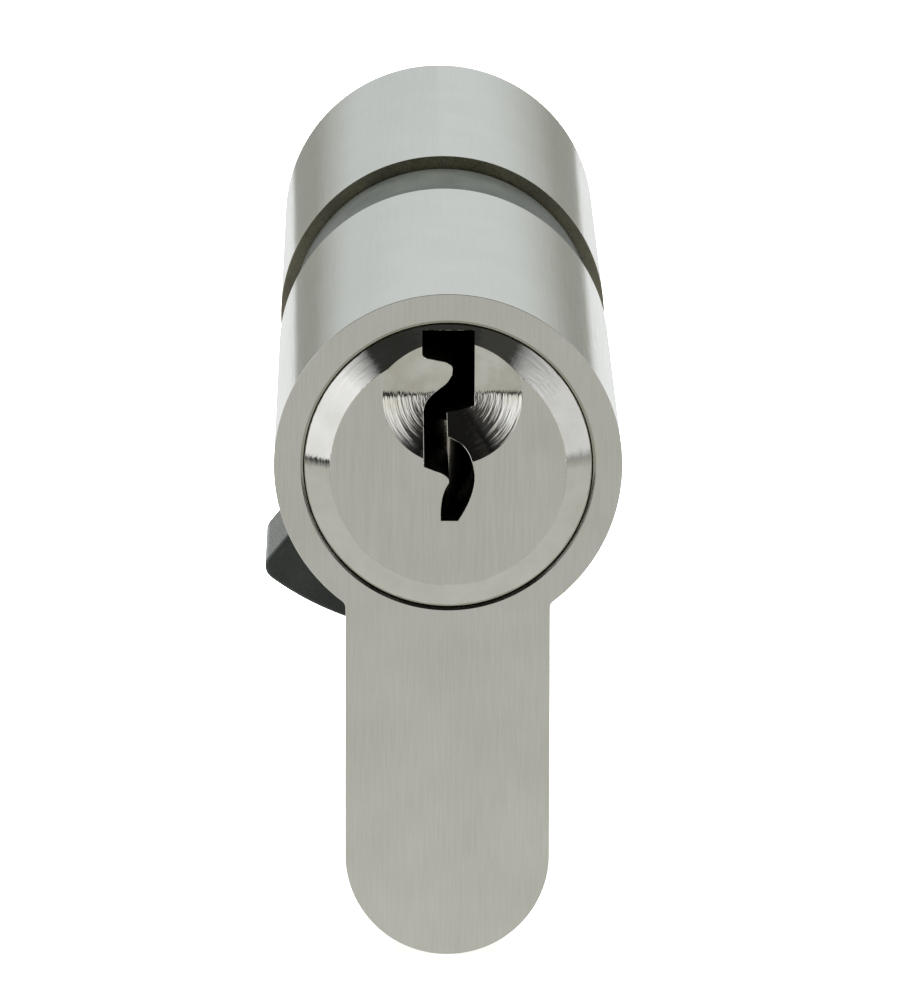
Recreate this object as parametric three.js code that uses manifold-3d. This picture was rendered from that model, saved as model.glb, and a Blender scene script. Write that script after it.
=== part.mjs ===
// Euro-profile double key cylinder: two keyed halves on one web, with a cam in the slot between them.
// Millimetres. +Y runs along the plugs from front to rear, and +Z from the web up to the barrels.
// Every piece is drawn about the plug axis, and the whole is lifted so that the origin is the middle
// of the fixing screw's hole. A half is drawn once, with its face towards -Y, and turned for the rear.
import * as THREE from "three";
import { mergeVertices, toCreasedNormals } from "three/addons/utils/BufferGeometryUtils.js";
import Module from "manifold-3d";

const wasm = await Module();
wasm.setup();

// Housing
const HALF_LENGTH = 30; // from a half's face to the cam slot
const SLOT_WIDTH = 10;
const BARREL_R = 8.5;
const WEB_WIDTH = 10;
const WEB_DROP = 24.5; // from the plug axis to the web's rounded bottom
const JUNCTION_R = 0.4; // fillet between web and barrel
const BRIDGE_DROP = 16.2; // from the plug axis to the bridge that joins the halves
const SCREW_DROP = 20.3; // from the plug axis to the fixing screw
const SCREW_CORE_R = 2.1; // core of an M5 thread

// Plugs
const PLUG_R = 6.5;
const RUN_GAP = 0.05; // radial, wherever one piece turns on another
const HEAD_R = 7.04;
const HEAD_GAP = 0.11; // radial, round the head in its seat
const HEAD_PROUD = 0.75; // the head's face stands out of the housing's
const HEAD_SEAT = 2.4; // depth of the head's seat
const END_GAP = 0.1; // along the axis, between faces that slide past each other
const CHAMFER_WIDTH = 1.28;
const CHAMFER_DEPTH = 0.88;

// Key entry and keyway, seen from the half's own face: x to the right, z up from the plug axis
const ENTRY_X = 0.2;
const ENTRY_Z = 3.6;
const ENTRY_R = 3.4;
const ENTRY_SLOPE = THREE.MathUtils.degToRad(23);
const KEYWAY_HALF = 1.27; // half of the width at the key's back
const KEYWAY_TOP = 6.72;
const KEYWAY_BOTTOM = -2.56;

// Retaining clips, in a recess at each end of the cam slot
const CLIP_THICKNESS = 0.7;
const CLIP_OUTER_R = 6.95;
const CLIP_RECESS = 1.1; // depth of the recess in the housing
const CLIP_GROOVE = 0.75; // depth of the groove in the plug
const CLIP_OPENING = THREE.MathUtils.degToRad(28); // half of the gap between its ends

// Cam and couplers
const CAM_WIDTH = 9.5;
const CAM_RING_R = 7.9;
const CAM_WALL = 3.2; // the wall between the two journals
const NOSE_R = 15;
const NOSE_ANGLE = THREE.MathUtils.degToRad(27); // from straight down towards -X
const NOSE_SPREAD = THREE.MathUtils.degToRad(12.7); // half of the angle that it fills
const NOSE_CORNER_R = 0.8;
const NOSE_ROOT_R = 1;
const COUPLER_WIDTH = 3;
const COUPLER_R = 4.8;
const COUPLER_GRIP = 2.7; // length that stays in the plug while the coupler drives the cam

// Pin stacks: key pin, driver pin, spring and chamber plug, from the plug down to the web's bottom
const FIRST_PIN = 7; // from the housing's face
const LAST_PIN = 3.1; // to the pocket that the coupler slides in
const KEY_PIN_LENGTHS = [8.4, 6.4, 5.2, 5.8, 7];
const SPOOL_DRIVERS = [1, 3];
const DRIVER_LENGTH = 5;
const PIN_R = 1.44;
const PIN_GAP = 0.06; // radial, in the chamber
const PIN_END_R = 0.9;
const PIN_CHAMFER = 0.3;
const PIN_TIP_R = 0.5;
const PIN_TIP_HEIGHT = 0.8;
const SHEAR_INSET = 0.08; // how far a key pin ends inside the plug's surface
const SPOOL_WAIST_R = 1;
const SPOOL_FLANGE = 1.2;
const PIN_ROOF = 2.6; // top of the pin holes in the plug, above its axis
const WIRE_R = 0.17;
const SPRING_TURNS = 6;
const CHAMBER_PLUG_LENGTH = 3;
const PRESS_GAP = 0.04; // radial, round the chamber plugs

// How finely curves are faceted
const BARREL_STEPS = 48;
const TURNED_STEPS = 48;
const PIN_STEPS = 16;
const CORNER_STEPS = 5;
const WIRE_SIDES = 5;
const STEPS_PER_TURN = 7;
const PAST = 1; // how far a cutter runs past the surface that it opens

// Places along the plug axis, for a half whose face looks towards -Y
const SLOT_Y = -SLOT_WIDTH / 2;
const FACE_Y = SLOT_Y - HALF_LENGTH;
const HEAD_Y = FACE_Y - HEAD_PROUD;
const PLUG_END_Y = -CAM_WALL / 2 - 2 * END_GAP;
const CLIP_Y = SLOT_Y - CLIP_RECESS / 2;
const COUPLER_TIP = CAM_WALL / 2 + END_GAP / 2;
const COUPLER_LENGTH = COUPLER_GRIP - PLUG_END_Y + COUPLER_TIP;
const COUPLER_TRAVEL = 2 * COUPLER_TIP + END_GAP;
const POCKET_Y = COUPLER_TIP - COUPLER_TRAVEL - COUPLER_LENGTH - 2 * END_GAP;
const CHAMBER_R = PIN_R + PIN_GAP;

function solidOf(geometry) {
  const loose = geometry.index ? geometry.toNonIndexed() : geometry.clone();
  loose.deleteAttribute("normal");
  loose.deleteAttribute("uv");
  const merged = mergeVertices(loose, 1e-4);
  const vertProperties = merged.attributes.position.array;
  const triVerts = new Uint32Array(merged.index.array);
  return new wasm.Manifold(new wasm.Mesh({ numProp: 3, vertProperties, triVerts }));
}

function meshOf(name, solid, finish) {
  const { vertProperties, triVerts } = solid.getMesh();
  const geometry = new THREE.BufferGeometry();
  geometry.setAttribute("position", new THREE.BufferAttribute(vertProperties, 3));
  geometry.setIndex(new THREE.BufferAttribute(triVerts, 1));
  const mesh = new THREE.Mesh(toCreasedNormals(geometry, 0.6), new THREE.MeshStandardMaterial(finish));
  mesh.name = name;
  return mesh;
}

// Points of an arc from one angle to another, in either direction.
function arc(x, z, radius, from, to, steps) {
  return Array.from({ length: steps + 1 }, (_, i) => {
    const angle = from + ((to - from) * i) / steps;
    return new THREE.Vector2(x + radius * Math.cos(angle), z + radius * Math.sin(angle));
  });
}

// A shape drawn in x and z, run along Y from one place to another.
function alongY(shape, from, to, curveSegments = CORNER_STEPS) {
  const settings = { depth: to - from, bevelEnabled: false, curveSegments };
  return new THREE.ExtrudeGeometry(shape, settings).rotateX(Math.PI / 2).translate(0, to, 0);
}

// A profile of [radius, place] pairs turned about the Y axis.
function turnedOnY(profile, steps = TURNED_STEPS) {
  const points = profile.map(([radius, place]) => new THREE.Vector2(radius, place));
  return new THREE.LatheGeometry(points, steps);
}

// The same about the Z axis, at a place along the plug.
function turnedOnZ(profile, y, steps = PIN_STEPS) {
  return turnedOnY(profile, steps).rotateX(Math.PI / 2).translate(0, y, 0);
}

function rod(radius, from, to) {
  return [[0, from], [radius, from], [radius, to], [0, to]];
}

// The pins stand evenly spaced between the head and the coupler's pocket.
function pinPlaces() {
  const first = FACE_Y + FIRST_PIN;
  const pitch = (POCKET_Y - LAST_PIN - first) / (KEY_PIN_LENGTHS.length - 1);
  return KEY_PIN_LENGTHS.map((_, i) => first + i * pitch);
}

// The Euro profile: a round barrel on a web with a round bottom.
function profileSolid() {
  const half = WEB_WIDTH / 2;
  const filletX = half + JUNCTION_R;
  const filletZ = -Math.sqrt((BARREL_R + JUNCTION_R) ** 2 - filletX ** 2);
  const lean = Math.atan2(filletZ, filletX);
  const outline = [
    ...arc(filletX, filletZ, JUNCTION_R, Math.PI, Math.PI + lean, CORNER_STEPS),
    ...arc(0, 0, BARREL_R, lean, Math.PI - lean, BARREL_STEPS).slice(1, -1),
    ...arc(-filletX, filletZ, JUNCTION_R, -lean, 0, CORNER_STEPS),
    ...arc(0, half - WEB_DROP, half, Math.PI, 2 * Math.PI, BARREL_STEPS / 2),
  ];
  return solidOf(alongY(new THREE.Shape(outline), FACE_Y, -FACE_Y));
}

function housing() {
  let body = profileSolid();
  const slotHeight = BARREL_R + BRIDGE_DROP + PAST;
  const slot = new THREE.BoxGeometry(2 * BARREL_R + PAST, SLOT_WIDTH, slotHeight);
  body = body.subtract(solidOf(slot.translate(0, 0, slotHeight / 2 - BRIDGE_DROP)));
  const screwHole = turnedOnY(rod(SCREW_CORE_R, -WEB_WIDTH, WEB_WIDTH), PIN_STEPS);
  body = body.subtract(solidOf(screwHole.rotateZ(Math.PI / 2).translate(0, 0, -SCREW_DROP)));
  const bore = [
    [0, FACE_Y - PAST],
    [HEAD_R + HEAD_GAP, FACE_Y - PAST],
    [HEAD_R + HEAD_GAP, FACE_Y + HEAD_SEAT],
    [PLUG_R + RUN_GAP, FACE_Y + HEAD_SEAT],
    [PLUG_R + RUN_GAP, SLOT_Y - CLIP_RECESS],
    [CLIP_OUTER_R + HEAD_GAP, SLOT_Y - CLIP_RECESS],
    [CLIP_OUTER_R + HEAD_GAP, 0],
    [0, 0],
  ];
  for (const turn of [0, Math.PI]) {
    body = body.subtract(solidOf(turnedOnY(bore).rotateZ(turn)));
    for (const y of pinPlaces()) {
      const chamber = turnedOnZ(rod(CHAMBER_R, -WEB_DROP - PAST, -PLUG_R + PAST), y);
      body = body.subtract(solidOf(chamber.rotateZ(turn)));
    }
  }
  return body;
}

// The keyway: its left side going down, its bottom, then its right side going up. Each side has a
// ward that reaches past the middle, so that only a key of this section enters.
function keywayShape() {
  const shape = new THREE.Shape();
  shape.moveTo(-KEYWAY_HALF, KEYWAY_TOP);
  shape.lineTo(-KEYWAY_HALF, 5.6);
  shape.quadraticCurveTo(-1.22, 5.38, -0.95, 5.35);
  shape.lineTo(-0.35, 5.2);
  shape.quadraticCurveTo(0.3, 5.05, 0.21, 4.66);
  shape.quadraticCurveTo(0.2, 4.3, -0.15, 3.95);
  shape.lineTo(-0.75, 3.5);
  shape.quadraticCurveTo(-1.22, 3.1, -1.2, 2.6);
  shape.lineTo(-1.17, 0.12);
  shape.lineTo(-0.61, -0.1);
  shape.quadraticCurveTo(0.1, -0.3, 0.04, -0.72);
  shape.quadraticCurveTo(-0.4, -1.3, -0.35, KEYWAY_BOTTOM);
  shape.lineTo(0.48, KEYWAY_BOTTOM);
  shape.quadraticCurveTo(1.3, -1.35, 1.28, -0.4);
  shape.quadraticCurveTo(1.2, 0.75, 0.57, 1.19);
  shape.lineTo(-0.05, 1.5);
  shape.lineTo(-0.08, 2.62);
  shape.lineTo(0.57, 2.72);
  shape.lineTo(KEYWAY_HALF, 2.98);
  shape.lineTo(KEYWAY_HALF, KEYWAY_TOP);
  shape.closePath();
  return shape;
}

// A coupler's section: a bar with round ends. The slots that it slides in are the same, with a gap.
function couplerShape(gap) {
  const radius = COUPLER_R + gap;
  const lean = Math.asin((COUPLER_WIDTH / 2 + gap) / radius);
  const ends = [Math.PI / 2, -Math.PI / 2];
  return new THREE.Shape(
    ends.flatMap((middle) => arc(0, 0, radius, middle - lean, middle + lean, CORNER_STEPS)),
  );
}

function plug() {
  const grooveR = PLUG_R - CLIP_GROOVE;
  const grooveHalf = CLIP_THICKNESS / 2 + END_GAP;
  const outside = [
    [0, HEAD_Y],
    [HEAD_R - CHAMFER_WIDTH, HEAD_Y],
    [HEAD_R, HEAD_Y + CHAMFER_DEPTH],
    [HEAD_R, FACE_Y + HEAD_SEAT - END_GAP],
    [PLUG_R, FACE_Y + HEAD_SEAT - END_GAP],
    [PLUG_R, CLIP_Y - grooveHalf],
    [grooveR, CLIP_Y - grooveHalf],
    [grooveR, CLIP_Y + grooveHalf],
    [PLUG_R, CLIP_Y + grooveHalf],
    [PLUG_R, PLUG_END_Y],
    [0, PLUG_END_Y],
  ];
  const entry = [
    [0, HEAD_Y - PAST],
    [ENTRY_R, HEAD_Y - PAST],
    [ENTRY_R, HEAD_Y],
    [0, HEAD_Y + ENTRY_R * Math.tan(ENTRY_SLOPE)],
  ];
  let body = solidOf(turnedOnY(outside));
  body = body.subtract(solidOf(turnedOnY(entry).translate(ENTRY_X, 0, ENTRY_Z)));
  body = body.subtract(solidOf(alongY(keywayShape(), HEAD_Y - PAST, POCKET_Y + END_GAP)));
  body = body.subtract(solidOf(alongY(couplerShape(END_GAP), POCKET_Y, PAST)));
  for (const y of pinPlaces()) {
    body = body.subtract(solidOf(turnedOnZ(rod(CHAMBER_R, -PLUG_R - PAST, PIN_ROOF), y)));
  }
  return body;
}

// The cam's outline: a ring, and a nose with straight radial flanks. Angles are those of the x-z plane.
function camShape() {
  const middle = -Math.PI / 2 - NOSE_ANGLE;
  const low = middle - NOSE_SPREAD;
  const high = middle + NOSE_SPREAD;
  const rootReach = CAM_RING_R + NOSE_ROOT_R;
  const cornerReach = NOSE_R - NOSE_CORNER_R;
  const root = Math.asin(NOSE_ROOT_R / rootReach);
  const corner = Math.asin(NOSE_CORNER_R / cornerReach);
  const quarter = Math.PI / 2;
  const round = (reach, angle, radius, from, to) =>
    arc(reach * Math.cos(angle), reach * Math.sin(angle), radius, from, to, CORNER_STEPS);
  return new THREE.Shape([
    ...round(rootReach, low - root, NOSE_ROOT_R, low - root + Math.PI, low + quarter),
    ...round(cornerReach, low + corner, NOSE_CORNER_R, low - quarter, low + corner),
    ...arc(0, 0, NOSE_R, low + corner, high - corner, CORNER_STEPS).slice(1, -1),
    ...round(cornerReach, high - corner, NOSE_CORNER_R, high - corner, high + quarter),
    ...round(rootReach, high + root, NOSE_ROOT_R, high - quarter, high + root - Math.PI),
    ...arc(0, 0, CAM_RING_R, high + root, low - root + 2 * Math.PI, TURNED_STEPS).slice(1, -1),
  ]);
}

// The cam turns on both plugs' ends. The wall between them has the slot that the couplers enter.
function cam() {
  let body = solidOf(alongY(camShape(), -CAM_WIDTH / 2, CAM_WIDTH / 2));
  const journal = rod(PLUG_R + RUN_GAP, -CAM_WIDTH / 2 - PAST, -CAM_WALL / 2);
  for (const turn of [0, Math.PI]) {
    body = body.subtract(solidOf(turnedOnY(journal).rotateZ(turn)));
  }
  return body.subtract(solidOf(alongY(couplerShape(END_GAP), -CAM_WALL, CAM_WALL)));
}

function clip() {
  const innerR = PLUG_R - CLIP_GROOVE + END_GAP;
  const from = Math.PI / 2 + CLIP_OPENING;
  const to = Math.PI * 2.5 - CLIP_OPENING;
  const outline = [
    ...arc(0, 0, CLIP_OUTER_R, from, to, BARREL_STEPS),
    ...arc(0, 0, innerR, to, from, BARREL_STEPS),
  ];
  const half = CLIP_THICKNESS / 2;
  return solidOf(alongY(new THREE.Shape(outline), CLIP_Y - half, CLIP_Y + half));
}

// A coupler whose inner end stands at tip.
function coupler(tip) {
  return solidOf(alongY(couplerShape(0), tip - COUPLER_LENGTH, tip));
}

// A key pin ends just inside the plug's surface, and its pointed end reaches up into the keyway.
function keyPin(length, y) {
  const low = SHEAR_INSET - PLUG_R;
  const profile = [
    [0, low],
    [PIN_END_R, low],
    [PIN_R, low + PIN_CHAMFER],
    [PIN_R, low + length - PIN_TIP_HEIGHT],
    [PIN_TIP_R, low + length],
    [0, low + length],
  ];
  return solidOf(turnedOnZ(profile, y));
}

function driverTop() {
  return -PLUG_R - RUN_GAP - SHEAR_INSET;
}

// A driver pin ends just outside the plug's bore. A spool driver has a waist between two flanges.
function driverPin(isSpool, y) {
  const top = driverTop();
  const low = top - DRIVER_LENGTH;
  const waist = [
    [PIN_R, low + SPOOL_FLANGE],
    [SPOOL_WAIST_R, low + SPOOL_FLANGE + PIN_CHAMFER],
    [SPOOL_WAIST_R, top - SPOOL_FLANGE - PIN_CHAMFER],
    [PIN_R, top - SPOOL_FLANGE],
  ];
  const profile = [
    [0, low],
    [PIN_END_R, low],
    [PIN_R, low + PIN_CHAMFER],
    ...(isSpool ? waist : []),
    [PIN_R, top - PIN_CHAMFER],
    [PIN_END_R, top],
    [0, top],
  ];
  return solidOf(turnedOnZ(profile, y));
}

class Coil extends THREE.Curve {
  constructor(radius, low, high, y) {
    super();
    Object.assign(this, { radius, low, high, y });
  }

  getPoint(t, target = new THREE.Vector3()) {
    const angle = t * SPRING_TURNS * 2 * Math.PI;
    const x = this.radius * Math.cos(angle);
    const z = this.low + t * (this.high - this.low);
    return target.set(x, this.y + this.radius * Math.sin(angle), z);
  }
}

// A spring fills its chamber between the chamber plug and the driver pin.
function spring(y) {
  const low = CHAMBER_PLUG_LENGTH - WEB_DROP + END_GAP + WIRE_R;
  const high = driverTop() - DRIVER_LENGTH - END_GAP - WIRE_R;
  const extrudePath = new Coil(PIN_R - PIN_GAP - WIRE_R, low, high, y);
  const section = new THREE.Shape(arc(0, 0, WIRE_R, 0, 2 * Math.PI, WIRE_SIDES).slice(0, -1));
  const steps = SPRING_TURNS * STEPS_PER_TURN;
  return solidOf(new THREE.ExtrudeGeometry(section, { steps, extrudePath, bevelEnabled: false }));
}

// A chamber plug closes its chamber, flush with the web's round bottom.
function chamberPlug(y, profile) {
  const blank = rod(CHAMBER_R - PRESS_GAP, -WEB_DROP - PAST, CHAMBER_PLUG_LENGTH - WEB_DROP);
  return solidOf(turnedOnZ(blank, y)).intersect(profile);
}

const NICKEL = { color: 0xaeada3, roughness: 0.34, metalness: 1 }; // satin nickel plate
const BRASS = { color: 0xb89b5e, roughness: 0.4, metalness: 1 };
const NICKEL_SILVER = { color: 0xb3aea0, roughness: 0.35, metalness: 1 };
const BLACK_STEEL = { color: 0x3a3b3b, roughness: 0.6, metalness: 0.6 }; // sintered
const SPRING_STEEL = { color: 0x8d8f92, roughness: 0.3, metalness: 1 };

// What one half holds beside the housing. Its coupler's inner end stands at couplerTip.
function half(side, turn, couplerTip) {
  const group = new THREE.Group();
  group.rotation.z = turn;
  group.add(meshOf(`${side}_plug`, plug(), NICKEL));
  group.add(meshOf(`${side}_clip`, clip(), SPRING_STEEL));
  group.add(meshOf(`${side}_coupler`, coupler(couplerTip), SPRING_STEEL));
  const profile = profileSolid();
  pinPlaces().forEach((y, i) => {
    const driver = driverPin(SPOOL_DRIVERS.includes(i), y);
    group.add(meshOf(`${side}_key_pin_${i + 1}`, keyPin(KEY_PIN_LENGTHS[i], y), NICKEL_SILVER));
    group.add(meshOf(`${side}_driver_pin_${i + 1}`, driver, BRASS));
    group.add(meshOf(`${side}_spring_${i + 1}`, spring(y), SPRING_STEEL));
    group.add(meshOf(`${side}_chamber_plug_${i + 1}`, chamberPlug(y, profile), NICKEL));
  });
  return group;
}

const cylinder = new THREE.Group();
cylinder.position.z = SCREW_DROP;
cylinder.add(meshOf("housing", housing(), NICKEL));
cylinder.add(meshOf("cam", cam(), BLACK_STEEL));
cylinder.add(half("front", 0, COUPLER_TIP));
cylinder.add(half("rear", Math.PI, COUPLER_TIP - COUPLER_TRAVEL));

export default cylinder;
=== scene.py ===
"""Looks of a Euro-profile double key cylinder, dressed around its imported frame.

Shapes are drawn in millimetres about the plug axis, with the front half's face towards -Y, and are
brought into the frame's metres when a piece is finished. The rear half is the front one turned round.
"""
from math import asin, atan2, cos, pi, radians, sin, sqrt, tan

import bmesh
import bpy
from mathutils import Matrix, Vector


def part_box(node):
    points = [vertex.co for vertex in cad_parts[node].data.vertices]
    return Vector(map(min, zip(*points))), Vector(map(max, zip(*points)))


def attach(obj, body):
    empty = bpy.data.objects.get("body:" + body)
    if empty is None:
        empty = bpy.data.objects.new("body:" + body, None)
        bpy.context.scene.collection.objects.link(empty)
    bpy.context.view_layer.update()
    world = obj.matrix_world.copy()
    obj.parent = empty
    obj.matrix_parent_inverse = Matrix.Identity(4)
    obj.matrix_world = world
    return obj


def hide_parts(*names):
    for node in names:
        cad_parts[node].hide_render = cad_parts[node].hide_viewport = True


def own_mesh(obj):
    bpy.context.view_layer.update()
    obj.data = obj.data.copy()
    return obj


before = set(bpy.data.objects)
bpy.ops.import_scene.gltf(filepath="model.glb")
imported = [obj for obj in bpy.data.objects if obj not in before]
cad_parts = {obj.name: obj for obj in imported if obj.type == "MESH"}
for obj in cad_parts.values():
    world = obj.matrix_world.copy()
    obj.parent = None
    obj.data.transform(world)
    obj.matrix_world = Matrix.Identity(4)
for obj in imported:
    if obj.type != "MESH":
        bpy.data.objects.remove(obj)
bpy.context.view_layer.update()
stage_collection = bpy.context.scene.collection

MM = 0.001
MICROMETRE = 0.000001


def cad(node):
    """A CAD node's lowest and highest corners in millimetres."""
    low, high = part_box(node)
    return low / MM, high / MM


# What the frame gives
housing_low, housing_high = cad("housing")
plug_low, plug_high = cad("front_plug")
coupler_low, coupler_high = cad("front_coupler")
FLOOR_Z = housing_low.z
AXIS_Z = (plug_low.z + plug_high.z) / 2
FACE_Y = housing_low.y
HEAD_Y = plug_low.y
BARREL_R = housing_high.x
HEAD_R = plug_high.x
PLUG_END_Y = plug_high.y
COUPLER_Y = coupler_low.y
COUPLER_R = coupler_high.z - AXIS_Z
COUPLER_HALF = coupler_high.x
CAM_HALF = cad("cam")[1].y
BOTTOM_Z = FLOOR_Z - AXIS_Z
SIDES = ("front", "rear")
PIN_NUMBERS = range(1, 6)

# Housing, in millimetres
WEB_HALF = 5.0
JUNCTION_R = 0.4  # the fillet between barrel and web
SLOT_Y = -5.0
BRIDGE_Z = -16.2
BRIDGE_OVERLAP = 3.0
CORE_R = 2.1  # the M5 fixing hole before it is threaded
THREAD_R = 2.5
THREAD_PITCH = 0.8
THREAD_HALVES = (0.38, 0.05)  # half the groove's width at its mouth and at its bottom
HOLE_MOUTH_R = THREAD_R + 0.15
HEAD_GAP = 0.035
HEAD_SEAT = 2.4
SEAT_EDGE = 0.13  # the width of the break round the seat's mouth
SEAT_EDGE_DEPTH = 0.08
RUN_GAP = 0.05
CHAMBER_R = 1.5
EDGE = 0.03  # the break along a machined edge

# Plugs
PLUG_R = 6.5
PLUG_CHAMFER = 0.3  # at the inner end
CHAMFER_WIDTH = 1.28
CHAMFER_DEPTH = 0.88
CHAMFER_BREAK = 0.02  # where the head's face meets its chamfer
HEAD_EDGE = 0.07  # the break round the head's rim
CLIP_RECESS = 1.1
CLIP_THICKNESS = 0.7
CLIP_GROOVE = 0.75
CLIP_OUTER_R = 6.95
CLIP_OPENING = radians(28)
ENTRY_X = 0.2
ENTRY_Z = 3.6
ENTRY_R = 3.4
ENTRY_SLOPE = radians(25)  # at its rim
ENTRY_MIDDLE_SLOPE = radians(15)
ENTRY_LIMIT = 1.6  # its floor is less deep than this
KEYWAY_HALF = 1.27
KEYWAY_TOP = 6.72
KEYWAY_BOTTOM = -2.56
KEYWAY_EDGE = 0.03
PIN_ROOF = 2.6
CLEARANCE = 0.1  # round a coupler, beside a clip and behind a head

# Cam
CAM_WALL = 3.2  # the wall between its journals, which the coupler's slot goes through
CAM_RING_R = 7.9
JOURNAL_EDGE = 0.2
NOSE_R = 15.0
NOSE_ANGLE = radians(27)
NOSE_SPREAD = radians(12.7)
NOSE_CORNER_R = 0.8
NOSE_ROOT_R = 1.0
CAM_EDGE = 0.25  # a sintered part's edges are tumbled round

# Small parts
COUPLER_EDGE = 0.2
COUPLER_TRAVEL = 3.4
SPOOL_NUMBERS = (2, 4)
SPOOL_FLANGE = 1.2
SPOOL_SLOPE = 0.15
SPOOL_WAIST_R = 1.0
PIN_EDGE = 0.3
PIN_TIP_HEIGHT = 0.8
PIN_TIP_R = 0.5
WIRE_R = 0.17
SPRING_TURNS = 6
CLOSED_PITCH = 2.06  # of the end turns, in wire radii

# How finely curves are faceted
BARREL_STEPS = 200
TURNED_STEPS = 192
PIN_STEPS = 64
THREAD_STEPS = 32
WIRE_STEPS = 12
CORNER_STEPS = 8
EDGE_STEPS = 3
PAST = 1.0  # how far a cutter runs past the surface that it opens
OVERLAP = 0.1  # how far a cutter runs into what is open already

# How faces are told apart, so that each gets its finish
ON_IT = 0.01  # a face this close lies on the surface
NEAR_IT = 0.1
ENDWAYS = 0.7  # a face with more of its normal along the bar than this looks out of its end
SQUARE = 0.97  # and with more than this it is the end face itself
SLOPED = 0.3
ENTRY_FACES = 0.5  # the face and the entry's dish both have more than this
ALONGSIDE = 0.1  # a wall along the bar has less than this
AWAY = 0.1  # with less than this, a face looks neither away from the axis nor towards it


# -------------------- camera

CAMERA_AIM = Vector((0.4, 0.0, 11.4))
CAMERA_DISTANCE = 530.3
CAMERA_DOWN = radians(11.59)
CAMERA_AZIMUTH = radians(0.46)
CAMERA_ROLL = radians(0.14)
CAMERA_LENS = 365.0  # on a 36 mm sensor


def camera():
    """A long lens, straight in front of the half's face and a little above it."""
    data = bpy.data.cameras.new("camera")
    data.sensor_width = 36.0
    data.lens = CAMERA_LENS
    data.clip_start = 0.05
    data.clip_end = 20.0
    eye = bpy.data.objects.new("camera", data)
    turn = Matrix.Rotation(-CAMERA_AZIMUTH, 3, "Z") @ Matrix.Rotation(pi / 2 - CAMERA_DOWN, 3, "X")
    back = turn @ Vector((0, 0, CAMERA_DISTANCE))
    eye.location = (CAMERA_AIM + back) * MM
    eye.rotation_euler = (turn @ Matrix.Rotation(CAMERA_ROLL, 3, "Z")).to_euler()
    stage_collection.objects.link(eye)
    bpy.context.scene.camera = eye


camera()


# -------------------- shapes


def arc(x, z, radius, start, end, steps):
    """Points of an arc from one angle to another, in either direction."""
    angles = [start + (end - start) * i / steps for i in range(steps + 1)]
    return [(x + radius * cos(angle), z + radius * sin(angle)) for angle in angles]


def skin(rings):
    """A closed solid through rings of points. A ring of one point is a pole."""
    shape = bmesh.new()
    rows = [[shape.verts.new(point) for point in ring] for ring in rings]
    for near, far in zip(rows, rows[1:]):
        count = max(len(near), len(far))
        for i in range(count):
            corners = [near[i % len(near)], near[(i + 1) % len(near)]]
            corners += [far[(i + 1) % len(far)], far[i % len(far)]]
            shape.faces.new(list(dict.fromkeys(corners)))
    for end in (rows[0], rows[-1]):
        if len(end) > 1:
            shape.faces.new(end)
    bmesh.ops.recalc_face_normals(shape, faces=shape.faces)
    mesh = bpy.data.meshes.new("shape")
    shape.to_mesh(mesh)
    shape.free()
    return mesh


def circle(centre, radius, steps):
    """Points round a circle, or its centre alone where the radius is 0."""
    return arc(*centre, radius, 0, 2 * pi, steps if radius > 0 else 1)[:-1]


def turned(profile, steps=TURNED_STEPS, centre=(0.0, 0.0)):
    """A profile of (radius, y) pairs turned about a line along Y."""
    return skin([[(x, y, z) for x, z in circle(centre, radius, steps)] for radius, y in profile])


def upright(profile, y):
    """A profile of (radius, z) pairs turned about an upright line over the axis."""
    rings = [(circle((0, y), radius, PIN_STEPS), z) for radius, z in profile]
    return skin([[(px, py, z) for px, py in ring] for ring, z in rings])


def rod(radius, start, end, edge=0.0):
    """A rod's profile, with a chamfer at both ends if edge is given."""
    if not edge:
        return [(0, start), (radius, start), (radius, end), (0, end)]
    inner = radius - edge
    ends = [(0, start), (inner, start), (radius, start + edge)]
    return ends + [(radius, end - edge), (inner, end), (0, end)]


def run(outline, start, end, edge=0.0):
    """A solid along Y. outline(inset) gives its section, and its ends are rounded over edge."""
    if not edge:
        return skin([[(x, y, z) for x, z in outline(0)] for y in (start, end)])
    turns = [pi / 2 * i / EDGE_STEPS for i in range(EDGE_STEPS + 1)]
    near = [(start + edge * (1 - cos(turn)), edge * (1 - sin(turn))) for turn in turns]
    far = [(end + start - y, inset) for y, inset in reversed(near)]
    return skin([[(x, y, z) for x, z in outline(inset)] for y, inset in near + far])


def carve(mesh, tools, operation="DIFFERENCE"):
    """The mesh with each tool cut from it, or joined to it with UNION."""
    body = bpy.data.objects.new("blank", mesh)
    stage_collection.objects.link(body)
    cutters = []
    for tool in tools:
        cutter = bpy.data.objects.new("tool", tool)
        stage_collection.objects.link(cutter)
        modifier = body.modifiers.new("carve", "BOOLEAN")
        modifier.solver = "MANIFOLD"
        modifier.operation = operation
        modifier.object = cutter
        cutters.append(cutter)
    graph = bpy.context.evaluated_depsgraph_get()
    result = bpy.data.meshes.new_from_object(body.evaluated_get(graph))
    for thing in (body, *cutters):
        spent = thing.data
        bpy.data.objects.remove(thing)
        bpy.data.meshes.remove(spent)
    return result


def break_edges(mesh, chosen, width):
    """Rounds the edges for which chosen(edge) holds, as a light deburring does."""
    shape = bmesh.new()
    shape.from_mesh(mesh)
    bmesh.ops.remove_doubles(shape, verts=shape.verts, dist=width / 20)
    edges = [edge for edge in shape.edges if len(edge.link_faces) == 2 and chosen(edge)]
    settings = {"offset_type": "OFFSET", "segments": 2, "profile": 0.5, "affect": "EDGES"}
    bmesh.ops.bevel(shape, geom=edges, offset=width, clamp_overlap=False, **settings)
    shape.to_mesh(mesh)
    shape.free()
    return mesh


HALF_TURN = Matrix.Rotation(pi, 4, "Z")


def turned_round(mesh):
    """A copy for the rear half."""
    copy = mesh.copy()
    copy.transform(HALF_TURN)
    return copy


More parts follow.
